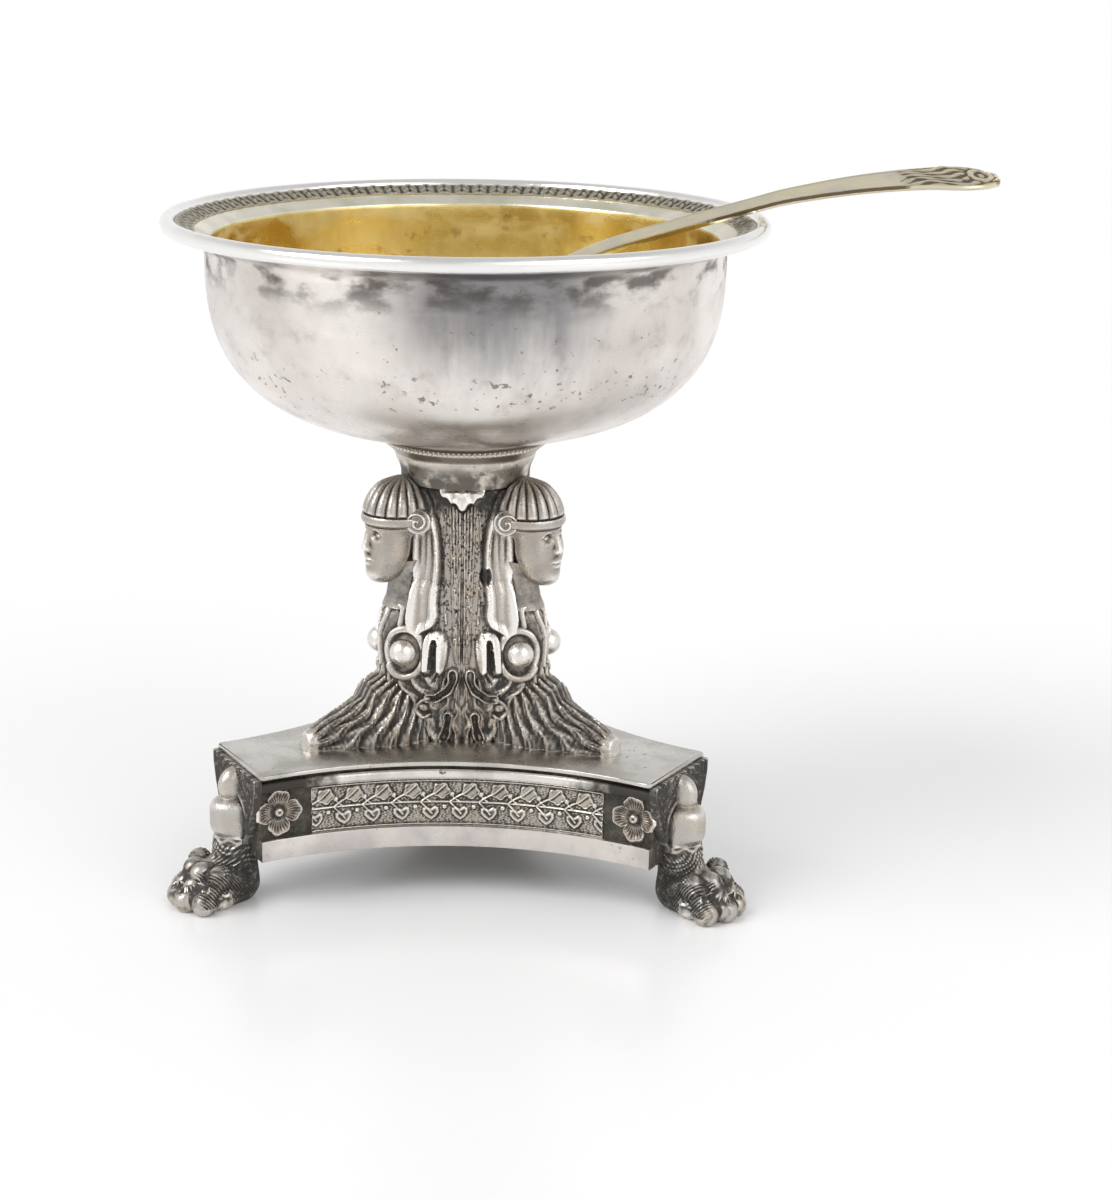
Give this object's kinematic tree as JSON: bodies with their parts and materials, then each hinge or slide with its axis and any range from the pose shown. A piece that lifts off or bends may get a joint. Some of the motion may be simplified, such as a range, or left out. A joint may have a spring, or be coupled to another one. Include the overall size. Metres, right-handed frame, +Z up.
{
  "type": "salt cellar",
  "caption": "Footed salt cellar: flanged round bowl on a column of winged figures and a three-sided plinth with paw feet, with a loose spoon.",
  "frame": {"origin": "on the table, under the axis of the column and the bowl, at the middle of the three feet", "axes": "+Z up, -Y towards the front side of the plinth, +X to the right, where the spoon's handle points"},
  "size_m": [0.1224, 0.0921, 0.1058],
  "materials": {
    "raised_silver": "hand-polished, light tarnish",
    "satin_silver": "satin, worn",
    "cast_silver": "cast, oxidised in the hollows",
    "dark_silver": "oxidised",
    "fixing_silver": "plain turned",
    "gilt_silver": "gilt, worn at the edges"
  },
  "bodies": {
    "stand": {"bowl": "raised_silver", "rim_border": "cast_silver", "bowl_collar": "cast_silver", "neck": "raised_silver", "tie_rod": "fixing_silver", "tie_washer": "fixing_silver", "tie_nut": "fixing_silver", "column_tube": "fixing_silver", "figure_left": "cast_silver", "figure_right": "cast_silver", "figure_back": "cast_silver", "leaf_panel_front": "cast_silver", "leaf_panel_right": "cast_silver", "leaf_panel_left": "cast_silver", "plinth_plate": "satin_silver", "side_wall_front": "dark_silver", "lower_band_front": "satin_silver", "frieze_front": "cast_silver", "moulding_front": "raised_silver", "side_wall_right": "dark_silver", "lower_band_right": "satin_silver", "frieze_right": "cast_silver", "moulding_right": "raised_silver", "side_wall_left": "dark_silver", "lower_band_left": "satin_silver", "frieze_left": "cast_silver", "moulding_left": "raised_silver", "foot_left": "cast_silver", "foot_right": "cast_silver", "foot_back": "cast_silver", "rosette_front_1": "cast_silver", "rosette_front_2": "cast_silver", "rosette_right_1": "cast_silver", "rosette_right_2": "cast_silver", "rosette_left_1": "cast_silver", "rosette_left_2": "cast_silver"},
    "salt_spoon": {"spoon": "gilt_silver"}
  },
  "joints": [
    {"name": "spoon_lift", "type": "slide", "parent": "stand", "child": "salt_spoon", "axis": [0, 0, 1], "range_m": [0, 0.06]}
  ]
}
